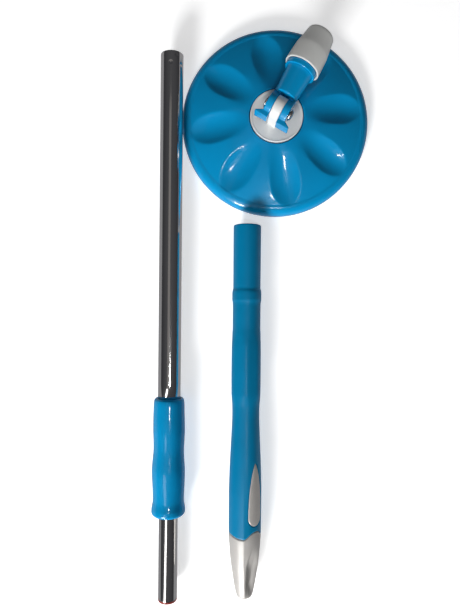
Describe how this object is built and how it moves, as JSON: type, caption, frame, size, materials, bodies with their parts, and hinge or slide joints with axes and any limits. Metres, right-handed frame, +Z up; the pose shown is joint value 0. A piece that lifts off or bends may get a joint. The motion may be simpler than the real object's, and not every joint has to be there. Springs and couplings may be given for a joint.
{
  "type": "spin mop",
  "caption": "Dismantled spin mop: telescopic steel pole with push-to-spin drive, slip-on handle and round domed head with a folding, turning neck.",
  "frame": {"origin": "middle of the kit's footprint, on the floor it lies on", "axes": "+X across the kit from the pole to the head, +Y along the pole towards the head, +Z up"},
  "size_m": [0.1822, 0.4856, 0.0512],
  "materials": {
    "polished_steel": "polished stainless tube with fine lengthwise drawing marks",
    "dark_steel": "bare twisted strip",
    "plated_steel": "bright zinc plate",
    "cyan_plastic": "glossy moulded polypropylene",
    "handle_plastic": "satin-gloss moulded polypropylene",
    "white_plastic": "glossy moulded",
    "warm_grey_plastic": "satin moulded",
    "pearl_silver": "pearl silver paint",
    "dark_nylon": "plain moulded nylon",
    "acetal": "natural acetal",
    "red_brown_plastic": "plain moulded"
  },
  "bodies": {
    "pole": {"outer_tube": "polished_steel", "rod_anchor_plug": "dark_nylon", "twisted_rod": "dark_steel", "guide_bush": "dark_nylon", "brake_shoe": "dark_nylon"},
    "lock_collar_sleeve": {"lock_sleeve": "cyan_plastic", "lock_cam_ring": "acetal"},
    "thin_tube": {"inner_tube": "polished_steel", "clutch_housing": "dark_nylon", "clutch_ring": "acetal", "nut_retainer": "dark_nylon", "tube_end_ring": "red_brown_plastic"},
    "nut": {"drive_nut": "acetal"},
    "handle": {"handle_grip": "handle_plastic", "socket_bush": "dark_nylon", "thumb_inlay": "pearl_silver", "end_cap": "pearl_silver"},
    "disc": {"mop_disc": "cyan_plastic", "base_plate": "white_plastic", "base_screws": "plated_steel", "bearing_bush": "acetal"},
    "hub": {"hub_plate": "white_plastic", "hub_washer": "plated_steel", "hub_screw": "plated_steel"},
    "neck": {"neck_yoke": "cyan_plastic", "hinge_pin": "plated_steel", "pin_washers": "plated_steel", "stop_ring": "cyan_plastic"},
    "collar": {"socket_collar": "warm_grey_plastic", "collar_collet": "dark_nylon"}
  },
  "joints": [
    {"name": "telescope", "type": "slide", "parent": "pole", "child": "thin_tube", "axis": [0, -1, 0], "range_m": [0, 0.209]},
    {"name": "sleeve_twist", "type": "hinge", "parent": "pole", "child": "lock_collar_sleeve", "pos_m": [-0.07687, -0.1228, 0.01425], "axis": [0, 1, 0], "range_deg": [0, 90]},
    {"name": "nut_spin", "type": "hinge", "parent": "thin_tube", "child": "nut", "pos_m": [-0.07687, 0.0532, 0.01425], "axis": [0, 1, 0], "range_deg": [0, 628]},
    {"name": "handle_lift", "type": "slide", "parent": "pole", "child": "handle", "axis": [0, 0, 1], "range_m": [0, 0.15]},
    {"name": "head_lift", "type": "slide", "parent": "pole", "child": "disc", "axis": [0, 0, 1], "range_m": [0, 0.15]},
    {"name": "hub_spin", "type": "hinge", "parent": "disc", "child": "hub", "pos_m": [0.01112, 0.1628, 0.02], "axis": [0, 0, 1], "continuous": true},
    {"name": "neck_swing", "type": "hinge", "parent": "hub", "child": "neck", "pos_m": [0.01112, 0.1628, 0.0362], "axis": [0.8704, -0.4924, 0], "range_deg": [0, 180]},
    {"name": "collar_twist", "type": "hinge", "parent": "neck", "child": "collar", "pos_m": [0.03575, 0.20632, 0.0362], "axis": [0.4924, 0.8704, 0], "range_deg": [0, 90]}
  ],
  "couplings": [
    {"joint": "nut_spin", "follows": "telescope", "rad_per_m": 52.36}
  ]
}
